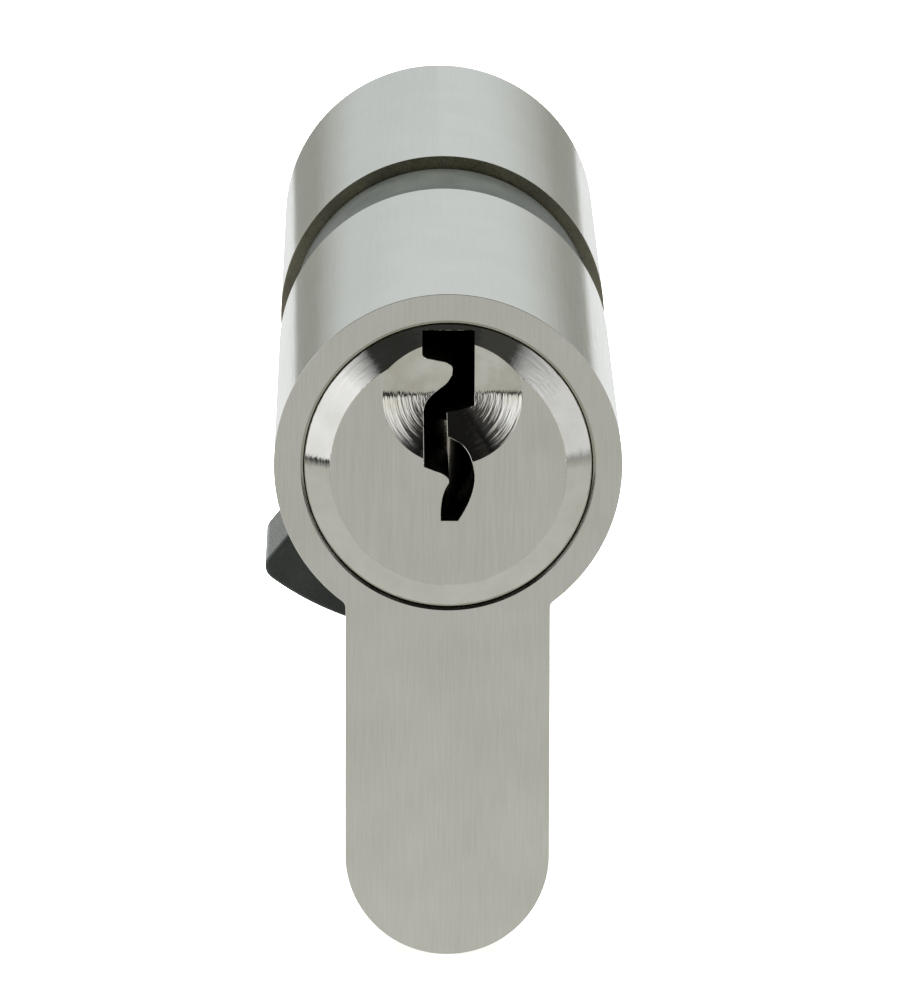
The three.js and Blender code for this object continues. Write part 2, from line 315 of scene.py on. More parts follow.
def finish(name, mesh, body, finishes, choose=None, smooth=radians(28)):
    """Brings a shape into the frame as a piece that stands for the CAD node of the same name.

    finishes are its materials, and choose(centre, normal) gives a face's place in them.
    """
    mesh.materials.clear()
    for material in finishes:
        mesh.materials.append(material)
    for face in mesh.polygons:
        face.material_index = choose(face.center, face.normal) if choose else 0
    mesh.shade_smooth()
    mesh.set_sharp_from_angle(angle=smooth)
    piece = bpy.data.objects.new(name + "_look", mesh)
    stage_collection.objects.link(piece)
    weighted = piece.modifiers.new("flat faces stay flat", "WEIGHTED_NORMAL")
    weighted.keep_sharp = True
    graph = bpy.context.evaluated_depsgraph_get()
    final = bpy.data.meshes.new_from_object(piece.evaluated_get(graph))
    piece.modifiers.clear()
    piece.data = final
    final.name = piece.name
    final.transform(Matrix.Scale(MM, 4) @ Matrix.Translation((0, 0, AXIS_Z)))
    bpy.data.meshes.remove(mesh)
    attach(piece, body)
    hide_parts(name)
    return piece


# -------------------- finishes


def linear(code):
    """An sRGB hex colour as a linear RGBA colour."""
    channels = [int(code[i : i + 2], 16) / 255 for i in (0, 2, 4)]
    straight = [c / 12.92 if c <= 0.04045 else ((c + 0.055) / 1.055) ** 2.4 for c in channels]
    return (*straight, 1.0)


def add(tree, kind, inputs=None, **settings):
    """Adds a node with its settings, and links or sets its inputs."""
    node = tree.nodes.new(kind)
    for name, value in settings.items():
        setattr(node, name, value)
    for name, value in (inputs or {}).items():
        if isinstance(value, bpy.types.NodeSocket):
            tree.links.new(value, node.inputs[name])
        else:
            node.inputs[name].default_value = value
    return node


def empty_material(name):
    """A material and its node tree, with no node in it."""
    material = bpy.data.materials.new(name)
    material.use_nodes = True
    material.node_tree.nodes.clear()
    return material, material.node_tree


def metal(name, **settings):
    """A material with one Principled shader, whose sockets take the settings."""
    material, tree = empty_material(name)
    shader = add(tree, "ShaderNodeBsdfPrincipled", {"Metallic": 1.0, **settings})
    add(tree, "ShaderNodeOutputMaterial", {"Surface": shader.outputs["BSDF"]})
    return material, tree, shader


GRAIN_DETAIL = 3.0
GRAIN_ROUGHNESS = 0.6
GRAIN_RANGE = (0.3, 0.7)  # nearly all of a grain's values lie between these


def lined(tree, sizes, detail=GRAIN_DETAIL):
    """Grain that is sizes millimetres long on each axis."""
    place = add(tree, "ShaderNodeTexCoord").outputs["Object"]
    scale = tuple(1 / (size * MM) for size in sizes)
    drawn = add(tree, "ShaderNodeMapping", {"Vector": place, "Scale": scale})
    inputs = {"Vector": drawn.outputs["Vector"], "Scale": 1.0}
    inputs.update({"Detail": detail, "Roughness": GRAIN_ROUGHNESS})
    return add(tree, "ShaderNodeTexNoise", inputs).outputs["Fac"]


def ringed(tree, centre, ring, sweep):
    """Grain in rings about a line along Y. ring is a ring's width in millimetres.

    The greater sweep is, the shorter are the rings' arcs.
    """
    place = add(tree, "ShaderNodeTexCoord").outputs["Object"]
    shift = (-centre[0] * MM, 0, -(centre[1] + AXIS_Z) * MM)
    middle = add(tree, "ShaderNodeMapping", {"Vector": place, "Location": shift})
    flat_inputs = {0: middle.outputs["Vector"], 1: (1, 0, 1)}
    flat = add(tree, "ShaderNodeVectorMath", flat_inputs, operation="MULTIPLY").outputs[0]
    reach = add(tree, "ShaderNodeVectorMath", {0: flat}, operation="LENGTH").outputs["Value"]
    rings = add(tree, "ShaderNodeMath", {0: reach, 1: 1 / (ring * MM)}, operation="MULTIPLY")
    heading = add(tree, "ShaderNodeVectorMath", {0: flat}, operation="NORMALIZE").outputs[0]
    turn_inputs = {0: heading, "Scale": sweep}
    turn = add(tree, "ShaderNodeVectorMath", turn_inputs, operation="SCALE").outputs[0]
    stack = add(tree, "ShaderNodeCombineXYZ", {"Y": rings.outputs[0]}).outputs[0]
    vector = add(tree, "ShaderNodeVectorMath", {0: turn, 1: stack}, operation="ADD").outputs[0]
    inputs = {"Vector": vector, "Scale": 1.0}
    inputs.update({"Detail": GRAIN_DETAIL, "Roughness": GRAIN_ROUGHNESS})
    return add(tree, "ShaderNodeTexNoise", inputs).outputs["Fac"]


def tint(tree, shader, grain, dark, light, grain_range=GRAIN_RANGE):
    """Lets the grain take the shader's colour from one sRGB hex colour to another."""
    inputs = {"Value": grain, "From Min": grain_range[0], "From Max": grain_range[1]}
    share = add(tree, "ShaderNodeMapRange", inputs).outputs["Result"]
    # A mix node has its colours at inputs 6 and 7, and the mixed one at output 2.
    colours = {0: share, 6: linear(dark), 7: linear(light)}
    mixed = add(tree, "ShaderNodeMix", colours, data_type="RGBA").outputs[2]
    tree.links.new(mixed, shader.inputs["Base Color"])


def roughen(tree, shader, grain, roughness):
    """Lets the grain take the shader's roughness from the first of a pair to the second."""
    inputs = {"Value": grain, "From Min": GRAIN_RANGE[0], "From Max": GRAIN_RANGE[1]}
    inputs.update({"To Min": roughness[0], "To Max": roughness[1]})
    rough = add(tree, "ShaderNodeMapRange", inputs).outputs["Result"]
    tree.links.new(rough, shader.inputs["Roughness"])


def relief(tree, shader, layers):
    """Bumps on top of each other. Each layer is a height and its depth in micrometres."""
    normal = None
    for height, depth in layers:
        inputs = {"Height": height, "Distance": depth * MICROMETRE, "Strength": 1.0}
        if normal:
            inputs["Normal"] = normal
        normal = add(tree, "ShaderNodeBump", inputs).outputs["Normal"]
    tree.links.new(normal, shader.inputs["Normal"])


NICKEL_COLOURS = ("C6C5BA", "D0CFC6")
ENTRY_COLOURS = ("B7B3A2", "CDCCC2")
STEEL_COLOURS = ("8E9093", "A9ABAD")
SATIN_CLOUD = (4.0, 5.0, 4.0)
SATIN_RANGE = (0.7, 1.3)  # of the hair lines and the cloud together
STAIN = (1.5, 1.5, 1.5)
STAIN_DETAIL = 4.0
STEEL_CLOUD = (2.5, 2.5, 2.5)
PORE = (0.12, 0.12, 0.12)
PORE_DETAIL = 5.0


def satin_nickel(name, sizes, depth, crossed, crossed_depth, roughness):
    """Nickel plate over brass that was linished one way: warm grey, with hair lines that catch light.

    crossed gives the grain of the lines that an earlier pass left the other way.
    """
    material, tree, shader = metal(name, Anisotropic=0.35)
    hair = lined(tree, sizes)
    cloud = lined(tree, SATIN_CLOUD, detail=2.0)
    both = add(tree, "ShaderNodeMath", {0: hair, 1: cloud}, operation="ADD").outputs[0]
    tint(tree, shader, both, *NICKEL_COLOURS, SATIN_RANGE)
    roughen(tree, shader, hair, roughness)
    relief(tree, shader, [(hair, depth), (lined(tree, crossed, detail=2.0), crossed_depth)])
    return material


def turned_nickel(name, centre, colours, ring, sweep, depth):
    """Nickel plate over a turned face: bright, with the rings that the tool left."""
    material, tree, shader = metal(name)
    rings = ringed(tree, centre, ring, sweep)
    tint(tree, shader, lined(tree, STAIN), *colours)
    roughen(tree, shader, rings, (0.025, 0.105))
    relief(tree, shader, [(rings, depth)])
    return material


def cut_brass(name, dark, light, sizes, roughness):
    """A free-cutting copper alloy as machined: fine tool lines, a little tarnished."""
    material, tree, shader = metal(name)
    lines = lined(tree, sizes)
    tint(tree, shader, lined(tree, STAIN, STAIN_DETAIL), dark, light)
    roughen(tree, shader, lines, roughness)
    relief(tree, shader, [(lines, 1.5)])
    return material


def sintered_steel(name, dark, light, roughness, metallic):
    """Sintered steel blacked with oxide: dark, fine-pored, with a faint oily sheen at a low angle."""
    material, tree, shader = metal(name, Metallic=metallic)
    pores = lined(tree, PORE, PORE_DETAIL)
    tint(tree, shader, lined(tree, STEEL_CLOUD), dark, light)
    roughen(tree, shader, pores, roughness)
    relief(tree, shader, [(pores, 4.0)])
    return material


def drawn_steel(name, sizes):
    """Spring steel, drawn or rolled bright: cool grey with lines along the draw."""
    material, tree, shader = metal(name)
    lines = lined(tree, sizes)
    tint(tree, shader, lines, *STEEL_COLOURS)
    roughen(tree, shader, lines, (0.24, 0.38))
    relief(tree, shader, [(lines, 0.8)])
    return material


# Hair lines are drawn about 0.1 mm apart, three times as coarse as real ones, so that they show.
# On the barrel they run lengthways and smear what it mirrors into long soft bands.
SATIN_LENGTHWAYS = satin_nickel(
    "satin_nickel_linished_lengthways",
    sizes=(0.12, 7.0, 0.12), depth=0.4,
    crossed=(5.0, 0.22, 5.0), crossed_depth=2.6, roughness=(0.055, 0.135),
)
# On the end faces they stand upright and give an even, finely streaked grey.
SATIN_UPRIGHT = satin_nickel(
    "satin_nickel_linished_upright",
    sizes=(0.12, 0.5, 2.5), depth=0.8,
    crossed=(0.8, 0.8, 0.8), crossed_depth=1.2, roughness=(0.09, 0.17),
)
# A turned face is a clean mirror with rings. A feed of 0.1 mm is drawn as 0.16 and 0.2 to show.
TURNED_CHAMFER = turned_nickel(
    "bright_nickel_turned_chamfer", (0.0, 0.0), NICKEL_COLOURS, ring=0.16, sweep=4.0, depth=12.0
)
# The entries are a little darker and warmer, and their rings break the mirrored edges up.
ENTRY_RINGS = {"colours": ENTRY_COLOURS, "ring": 0.2, "sweep": 1.0, "depth": 20.0}
TURNED_ENTRY = turned_nickel("bright_nickel_turned_key_entry", (ENTRY_X, ENTRY_Z), **ENTRY_RINGS)
TURNED_ENTRY_REAR = turned_nickel(
    "bright_nickel_turned_rear_entry", (-ENTRY_X, ENTRY_Z), **ENTRY_RINGS
)
# Broached after plating and never polished, so rough; its brass is darkened almost to black as painted
# shade for the deep slit, with hardly a gleam.
KEYWAY_BRASS_PAINTED_SHADE = cut_brass("keyway_brass_painted_shade", "35332D", "4A463D", (0.15, 3.0, 0.15), (0.44, 0.58))
# Milled, with the plate thin over it: pale and soft.
MILLED_BRASS = cut_brass("milled_brass_slot", "7B7869", "96927F", (0.25, 0.25, 0.25), (0.24, 0.38))
# Drilled and reamed, with rings that dull it: yellow brown brass, darkened as painted shade for the deep
# bores and seats.
BORE_BRASS_PAINTED_SHADE = cut_brass("bore_brass_painted_shade", "5E5638", "8B7F54", (0.3, 0.08, 0.3), (0.32, 0.46))
# Turned pins: clear yellow brass, and nickel silver that is paler and glints in the keyway.
PIN_BRASS = cut_brass("turned_brass_pins", "A98A4C", "C7AA66", (0.4, 0.4, 0.07), (0.21, 0.35))
NICKEL_SILVER = cut_brass("turned_nickel_silver_pins", "A29D90", "B8B3A6", (0.4, 0.4, 0.07), (0.07, 0.21))
# Pores are drawn 0.12 mm across, a few times the real size, so that they show as a fine grain.
# Oxide makes the cam nearly black and glossy. Its ring's outside is a lighter, rougher copy of the same
# steel: a painted sheen for the bright band that it shows at a low angle.
BLACK_STEEL = sintered_steel("black_oxide_sintered_steel", "121613", "282D27", (0.16, 0.32), 0.35)
RING_STEEL_PAINTED_SHEEN = sintered_steel("sintered_steel_ring_painted_sheen", "2E312C", "444740", (0.42, 0.56), 0.45)
# Ground flat parts have straight lines, and drawn wire is smooth. Both are a cool bright grey.
FLAT_STEEL = drawn_steel("ground_spring_steel", (0.1, 3.0, 0.1))
WIRE_STEEL = drawn_steel("drawn_spring_wire", (0.3, 0.3, 0.3))


# -------------------- housing


def profile_outline(inset):
    """The Euro profile: a round barrel on a web with a round bottom."""
    barrel = BARREL_R - inset
    half = WEB_HALF - inset
    fillet = JUNCTION_R + inset
    fillet_x = half + fillet
    fillet_z = -sqrt((barrel + fillet) ** 2 - fillet_x**2)
    lean = atan2(fillet_z, fillet_x)
    outline = arc(fillet_x, fillet_z, fillet, pi, pi + lean, CORNER_STEPS)
    outline += arc(0, 0, barrel, lean, pi - lean, BARREL_STEPS)[1:-1]
    outline += arc(-fillet_x, fillet_z, fillet, -lean, 0, CORNER_STEPS)
    outline += arc(0, BOTTOM_Z + WEB_HALF, half, pi, 2 * pi, TURNED_STEPS // 2)
    return outline


def bridge_outline(inset):
    """The web below the cam slot, with the slot's bottom edges broken."""
    half = WEB_HALF - inset
    outline = arc(0, BOTTOM_Z + WEB_HALF, half, pi, 2 * pi, TURNED_STEPS // 2)
    top = [(half, BRIDGE_Z - EDGE), (half - EDGE, BRIDGE_Z)]
    return outline + top + [(-x, z) for x, z in reversed(top)]


def bore_profile():
    """Half of the housing's bore: the head's seat, the plug's bore and the clip's recess."""
    seat = HEAD_R + HEAD_GAP
    bore = PLUG_R + RUN_GAP
    recess = CLIP_OUTER_R + HEAD_GAP
    return [
        (0, FACE_Y - PAST),
        (seat + SEAT_EDGE, FACE_Y - PAST),
        (seat + SEAT_EDGE, FACE_Y),
        (seat + EDGE, FACE_Y + SEAT_EDGE_DEPTH),
        (seat, FACE_Y + SEAT_EDGE_DEPTH + EDGE),
        (seat, FACE_Y + HEAD_SEAT),
        (bore, FACE_Y + HEAD_SEAT),
        (bore, SLOT_Y - CLIP_RECESS),
        (recess, SLOT_Y - CLIP_RECESS),
        (recess, 0),
        (0, 0),
    ]


def thread():
    """The M5 thread's groove, as a ridge wound round the fixing hole from side to side."""
    reach = WEB_HALF + THREAD_PITCH
    count = int(2 * reach / THREAD_PITCH * THREAD_STEPS)
    root = CORE_R - OVERLAP
    wide, narrow = THREAD_HALVES
    section = [(root, -wide), (THREAD_R, -narrow), (THREAD_R, narrow), (root, wide)]
    rings = []
    for i in range(count + 1):
        angle = 2 * pi * i / THREAD_STEPS
        along = -reach + THREAD_PITCH * i / THREAD_STEPS
        rings.append([(along + x, r * cos(angle), r * sin(angle) - AXIS_Z) for r, x in section])
    return skin(rings)


def fixing_hole():
    """The hole's core, opened to the thread's full width at each side of the web."""
    past = WEB_HALF + PAST
    depth = WEB_HALF - (HOLE_MOUTH_R - CORE_R)
    profile = [(0, -past), (HOLE_MOUTH_R, -past), (HOLE_MOUTH_R, -WEB_HALF), (CORE_R, -depth)]
    profile += [(radius, -y) for radius, y in reversed(profile)]
    hole = turned(profile, PIN_STEPS)
    hole.transform(Matrix.Translation((0, 0, -AXIS_Z)) @ Matrix.Rotation(pi / 2, 4, "Z"))
    return hole


def pin_place(side, number):
    """How far along Y a pin stack stands."""
    low, high = cad(f"{side}_key_pin_{number}")
    return (low.y + high.y) / 2


def pin_holes(side, low, high):
    """The chambers' holes of one half, from one height to another."""
    profile = rod(CHAMBER_R, low, high)
    return [upright(profile, pin_place(side, number)) for number in PIN_NUMBERS]


def radial(centre, normal):
    """A face's distance from the axis, and how much it looks away from it."""
    return sqrt(centre.x**2 + centre.z**2), normal.x * centre.x + normal.z * centre.z


def choose_housing(centre, normal):
    """Satin outside, upright lines on the end faces, brass in the slot, and brass darkened as painted
    shade in the bores.
    """
    satin, upright_lines, milled, bored = range(4)
    reach, away = radial(centre, normal)
    depth = -FACE_Y - abs(centre.y)
    is_end = abs(normal.y) > ENDWAYS
    if depth < ON_IT and is_end:
        return upright_lines
    if abs(centre.y) < -SLOT_Y + ON_IT and (is_end or abs(centre.z - BRIDGE_Z) < ON_IT):
        return milled
    if away < -AWAY and reach < HEAD_R + HEAD_GAP + SEAT_EDGE:
        # Past the seat's mouth the wall takes the brass darkened as painted shade.
        return satin if depth < SEAT_EDGE_DEPTH + EDGE else bored
    if is_end:
        return bored
    in_screw_hole = sqrt(centre.y**2 + (centre.z + AXIS_Z) ** 2) < HOLE_MOUTH_R + EDGE
    below_flats = min(centre.z - BOTTOM_Z - WEB_HALF, 0)
    if in_screw_hole and sqrt(centre.x**2 + below_flats**2) < WEB_HALF - ON_IT:
        return bored
    in_chamber = abs(centre.x) < CHAMBER_R - ON_IT and abs(normal.z) < ALONGSIDE
    return bored if in_chamber and centre.z < -PLUG_R else satin


def housing():
    """Two barrels on a web, joined by the bridge, with every hole bored."""
    half = run(profile_outline, FACE_Y, SLOT_Y, EDGE)
    bridge = run(bridge_outline, SLOT_Y - BRIDGE_OVERLAP, BRIDGE_OVERLAP - SLOT_Y)
    body = carve(half, [turned_round(half), bridge], "UNION")
    bore = turned(bore_profile())
    tools = [bore, turned_round(bore), fixing_hole(), thread()]
    for side in SIDES:
        tools += pin_holes(side, BOTTOM_Z - PAST, -PLUG_R + PAST)
    body = carve(body, tools)
    finishes = [SATIN_LENGTHWAYS, SATIN_UPRIGHT, MILLED_BRASS, BORE_BRASS_PAINTED_SHADE]
    finish("housing", body, "housing", finishes, choose_housing)


# -------------------- plugs


def curve(start, control, end, steps=CORNER_STEPS):
    """Points of a quadratic curve after its start."""
    points = []
    for i in range(1, steps + 1):
        t = i / steps
        weights = ((1 - t) ** 2, 2 * t * (1 - t), t**2)
        corners = zip(start, control, end)
        points.append(tuple(sum(w * c for w, c in zip(weights, values)) for values in corners))
    return points


def keyway_outline(_inset):
    """The key's section: its left side going down, its bottom, then its right side going up.

    A step with one point is a straight line to it. One with two is a curve's control and its end.
    """
    path = [
        [(-KEYWAY_HALF, 5.6)],
        [(-1.22, 5.38), (-0.95, 5.35)],
        [(-0.35, 5.2)],
        [(0.3, 5.05), (0.21, 4.66)],
        [(0.2, 4.3), (-0.15, 3.95)],
        [(-0.75, 3.5)],
        [(-1.22, 3.1), (-1.2, 2.6)],
        [(-1.17, 0.12)],
        [(-0.61, -0.1)],
        [(0.1, -0.3), (0.04, -0.72)],
        [(-0.4, -1.3), (-0.35, KEYWAY_BOTTOM)],
        [(0.48, KEYWAY_BOTTOM)],
        [(1.3, -1.35), (1.28, -0.4)],
        [(1.2, 0.75), (0.57, 1.19)],
        [(-0.05, 1.5)],
        [(-0.08, 2.62)],
        [(0.57, 2.72)],
        [(KEYWAY_HALF, 2.98)],
        [(KEYWAY_HALF, KEYWAY_TOP)],
    ]
    outline = [(-KEYWAY_HALF, KEYWAY_TOP)]
    for step in path:
        if len(step) == 1:
            outline.append(step[0])
        else:
            outline += curve(outline[-1], *step)
    return outline


def coupler_outline(room):
    """The coupler's section with room round it, as outline(inset): a bar with round ends."""

    def outline(inset):
        reach = COUPLER_R + room - inset
        lean = asin((COUPLER_HALF + room - inset) / reach)
        ends = (pi / 2, -pi / 2)
        return [p for mid in ends for p in arc(0, 0, reach, mid - lean, mid + lean, CORNER_STEPS * 2)]

    return outline


def entry_profile():
    """The shallow dish round the keyway. It is steepest at its rim."""
    profile = [(0, HEAD_Y - PAST), (ENTRY_R, HEAD_Y - PAST), (ENTRY_R, HEAD_Y)]
    step = ENTRY_R / CORNER_STEPS
    y = HEAD_Y
    for i in range(CORNER_STEPS):
        share = 1 - (i + 0.5) / CORNER_STEPS
        y += step * tan(ENTRY_MIDDLE_SLOPE + (ENTRY_SLOPE - ENTRY_MIDDLE_SLOPE) * share)
        profile.append((max(ENTRY_R - (i + 1) * step, 0), y))
    return profile


def plug_profile():
    """Half of a plug's outside: its head, its shank, the clip's groove and its inner end."""
    groove_r = PLUG_R - CLIP_GROOVE
    groove_y = SLOT_Y - CLIP_RECESS / 2
    groove_half = CLIP_THICKNESS / 2 + CLEARANCE
    shoulder = FACE_Y + HEAD_SEAT - CLEARANCE
    chamfer_r = HEAD_R - CHAMFER_WIDTH
    rim_y = HEAD_Y + CHAMFER_DEPTH * (1 - HEAD_EDGE / CHAMFER_WIDTH)
    return [
        (0, HEAD_Y),
        (chamfer_r - CHAMFER_BREAK, HEAD_Y),
        (chamfer_r + CHAMFER_BREAK, HEAD_Y + CHAMFER_BREAK),
        # The rim is rounded in thirds of its break.
        (HEAD_R - HEAD_EDGE, rim_y),
        (HEAD_R - HEAD_EDGE / 3, rim_y + HEAD_EDGE * 2 / 3),
        (HEAD_R, rim_y + HEAD_EDGE * 5 / 3),
        (HEAD_R, shoulder),
        (PLUG_R, shoulder),
        (PLUG_R, groove_y - groove_half),
        (groove_r, groove_y - groove_half),
        (groove_r, groove_y + groove_half),
        (PLUG_R, groove_y + groove_half),
        (PLUG_R, PLUG_END_Y - PLUG_CHAMFER),
        (PLUG_R - PLUG_CHAMFER, PLUG_END_Y),
        (0, PLUG_END_Y),
    ]


def plug():
    """A plug with its head, key entry, keyway, pin holes, clip groove and coupler's pocket."""
    entry = entry_profile()
    mouth_end = entry[-1][1] + NEAR_IT
    pocket_y = COUPLER_Y - COUPLER_TRAVEL - 2 * CLEARANCE
    tools = [turned(entry, centre=(ENTRY_X, ENTRY_Z))]
    tools.append(run(keyway_outline, HEAD_Y - PAST, pocket_y + OVERLAP))
    tools.append(run(coupler_outline(CLEARANCE), pocket_y, PAST))
    tools += pin_holes("front", -PLUG_R - PAST, PIN_ROOF)
    body = carve(turned(plug_profile()), tools)

    def at_mouth(edge):
        """An edge between a keyway wall and the plug's front."""
        first, second = [face.normal.y for face in edge.link_faces]
        meets_wall = min(abs(first), abs(second)) < ALONGSIDE and min(first, second) < -ENTRY_FACES
        middle = (edge.verts[0].co + edge.verts[1].co) / 2
        return meets_wall and middle.y < mouth_end and abs(middle.x) < KEYWAY_HALF + NEAR_IT

    return break_edges(body, at_mouth, KEYWAY_EDGE)


def choose_plug(centre, normal):
    """Upright lines on the face, rings on the chamfer and entry, brass darkened as painted shade in the
    keyway and bores.
    """
    upright_lines, chamfer, entry, satin, keyway, bored = range(6)
    reach, away = radial(centre, normal)
    depth = -HEAD_Y - abs(centre.y)
    endways = abs(normal.y)
    if endways > SQUARE and depth < EDGE:
        return upright_lines
    if depth < CHAMFER_DEPTH + HEAD_EDGE and reach > HEAD_R - CHAMFER_WIDTH and away > 0:
        return chamfer
    if depth < ENTRY_LIMIT and endways > SLOPED:
        return entry
    if reach > PLUG_R - NEAR_IT:
        return satin
    # The keyway's walls and the bores take brass darkened as painted shade.
    return keyway if abs(centre.x) < KEYWAY_HALF + ON_IT and endways < ALONGSIDE else bored


def plugs():
    """The front plug, and the same one turned round for the rear."""
    front = plug()
    for side, mesh in zip(SIDES, (front, turned_round(front))):
        entry_finish = TURNED_ENTRY if side == "front" else TURNED_ENTRY_REAR
        finishes = [SATIN_UPRIGHT, TURNED_CHAMFER, entry_finish, SATIN_LENGTHWAYS]
        finishes += [KEYWAY_BRASS_PAINTED_SHADE, BORE_BRASS_PAINTED_SHADE]
        finish(f"{side}_plug", mesh, f"{side}_plug", finishes, choose_plug, radians(20))


# -------------------- cam, couplers and clips


def cam_outline(inset):
    """A ring, and a nose with straight radial flanks. Every centre stays and every radius shrinks."""
    middle = -pi / 2 - NOSE_ANGLE
    low = middle - NOSE_SPREAD
    high = middle + NOSE_SPREAD
    root_reach = CAM_RING_R + NOSE_ROOT_R
    corner_reach = NOSE_R - NOSE_CORNER_R
    root = asin(NOSE_ROOT_R / root_reach)
    corner = asin(NOSE_CORNER_R / corner_reach)
    quarter = pi / 2

    def rounded(reach, angle, radius, start, end):
        return arc(reach * cos(angle), reach * sin(angle), radius, start, end, CORNER_STEPS)

    concave = NOSE_ROOT_R + inset
    convex = NOSE_CORNER_R - inset
    ring_steps = TURNED_STEPS * 3 // 4
    outline = rounded(root_reach, low - root, concave, low - root + pi, low + quarter)
    outline += rounded(corner_reach, low + corner, convex, low - quarter, low + corner)
    outline += arc(0, 0, NOSE_R - inset, low + corner, high - corner, CORNER_STEPS * 3)[1:-1]
    outline += rounded(corner_reach, high - corner, convex, high - corner, high + quarter)
    outline += rounded(root_reach, high + root, concave, high - quarter, high + root - pi)
    outline += arc(0, 0, CAM_RING_R - inset, high + root, low - root + 2 * pi, ring_steps)[1:-1]
    return outline


def choose_cam(centre, normal):
    """The ring's outside takes a lighter copy of the steel as a painted sheen; the rest is as it was
    blacked.
    """
    blacked, ring_sheen = range(2)
    reach, away = radial(centre, normal)
    return ring_sheen if away > AWAY and abs(reach - CAM_RING_R) < CAM_EDGE / 5 else blacked


def cam():
    """The ring with its nose, a journal for each plug and the couplers' slot between them."""
    journal_r = PLUG_R + RUN_GAP
    mouth = journal_r + JOURNAL_EDGE
    journal = [(0, -CAM_HALF - PAST), (mouth + PAST, -CAM_HALF - PAST), (mouth, -CAM_HALF)]
    journal += [(journal_r, -CAM_HALF + JOURNAL_EDGE), (journal_r, -CAM_WALL / 2), (0, -CAM_WALL / 2)]
    slot = run(coupler_outline(CLEARANCE), -CAM_WALL, CAM_WALL)
    blank = run(cam_outline, -CAM_HALF, CAM_HALF, CAM_EDGE)
    body = carve(blank, [turned(journal), turned_round(turned(journal)), slot])
    finish("cam", body, "cam", [BLACK_STEEL, RING_STEEL_PAINTED_SHEEN], choose_cam)


def couplers():
    """The sliding dog in each plug."""
    for side in SIDES:
        name = f"{side}_coupler"
        low, high = cad(name)
        bar = run(coupler_outline(0), low.y, high.y, COUPLER_EDGE)
        finish(name, bar, name, [FLAT_STEEL])


def clips():
    """The spring ring in each plug's groove."""
    inner_r = PLUG_R - CLIP_GROOVE + CLEARANCE

    def outline(inset):
        """A flat ring, open at the top."""
        opening = CLIP_OPENING + inset / inner_r
        start = pi / 2 + opening
        end = 2.5 * pi - opening
        outer = arc(0, 0, CLIP_OUTER_R - inset, start, end, TURNED_STEPS)
        return outer + arc(0, 0, inner_r + inset, end, start, TURNED_STEPS)

    middle = SLOT_Y - CLIP_RECESS / 2
    ring = run(outline, middle - CLIP_THICKNESS / 2, middle + CLIP_THICKNESS / 2, EDGE)
    for side, mesh in zip(SIDES, (ring, turned_round(ring))):
        finish(f"{side}_clip", mesh, f"{side}_plug", [FLAT_STEEL])


# -------------------- pin stacks


def pin_foot(low, radius):
    """A pin's lower end, rounded."""
    return [
        (0, low),
        (radius - PIN_EDGE * 1.8, low),
        (radius - PIN_EDGE * 0.7, low + PIN_EDGE * 0.3),
        (radius, low + PIN_EDGE),
    ]


def key_pin(low, high, radius):
    """A key pin: a rounded foot on the shear line and a pointed end for the key's cuts."""
    shoulder = high - PIN_TIP_HEIGHT
    # The tip's cone, with its two corners broken by about a tenth.
    tip = [(radius, shoulder - 0.08), (radius - 0.06, shoulder + 0.06)]
    tip += [(PIN_TIP_R + 0.06, high - 0.1), (PIN_TIP_R - 0.12, high - 0.02), (0, high)]
    return pin_foot(low, radius) + tip


def driver_pin(low, high, radius, is_spool):
    """A driver pin with rounded ends. A spool driver has a waist."""
    half = pin_foot(low, radius)
    if is_spool:
        flange = low + SPOOL_FLANGE
        half += [(radius, flange), (SPOOL_WAIST_R, flange + SPOOL_SLOPE)]
    return half + [(r, low + high - z) for r, z in reversed(half)]


def chamber_plug(low, high, radius, y):
    """A pressed plug, dressed flush with the web's round bottom."""
    blank = upright(rod(radius, low - PAST, high, EDGE), y)
    return carve(blank, [run(profile_outline, FACE_Y, -FACE_Y)], "INTERSECT")


def upright_size(name):
    """An upright CAD node's bottom and top from the axis, and its radius."""
    low, high = cad(name)
    return low.z - AXIS_Z, high.z - AXIS_Z, high.x


def pin_stacks():
    """A key pin, a driver pin and a chamber plug in each chamber."""
    for side in SIDES:
        for number in PIN_NUMBERS:
            y = pin_place(side, number)
            name = f"{side}_key_pin_{number}"
            pin = upright(key_pin(*upright_size(name)), y)
            finish(name, pin, name, [NICKEL_SILVER])
            name = f"{side}_driver_pin_{number}"
            driver = upright(driver_pin(*upright_size(name), number in SPOOL_NUMBERS), y)
            finish(name, driver, name, [PIN_BRASS])
            name = f"{side}_chamber_plug_{number}"
            stopper = chamber_plug(*upright_size(name), y)
            finish(name, stopper, "housing", [SATIN_LENGTHWAYS])


# -------------------- springs


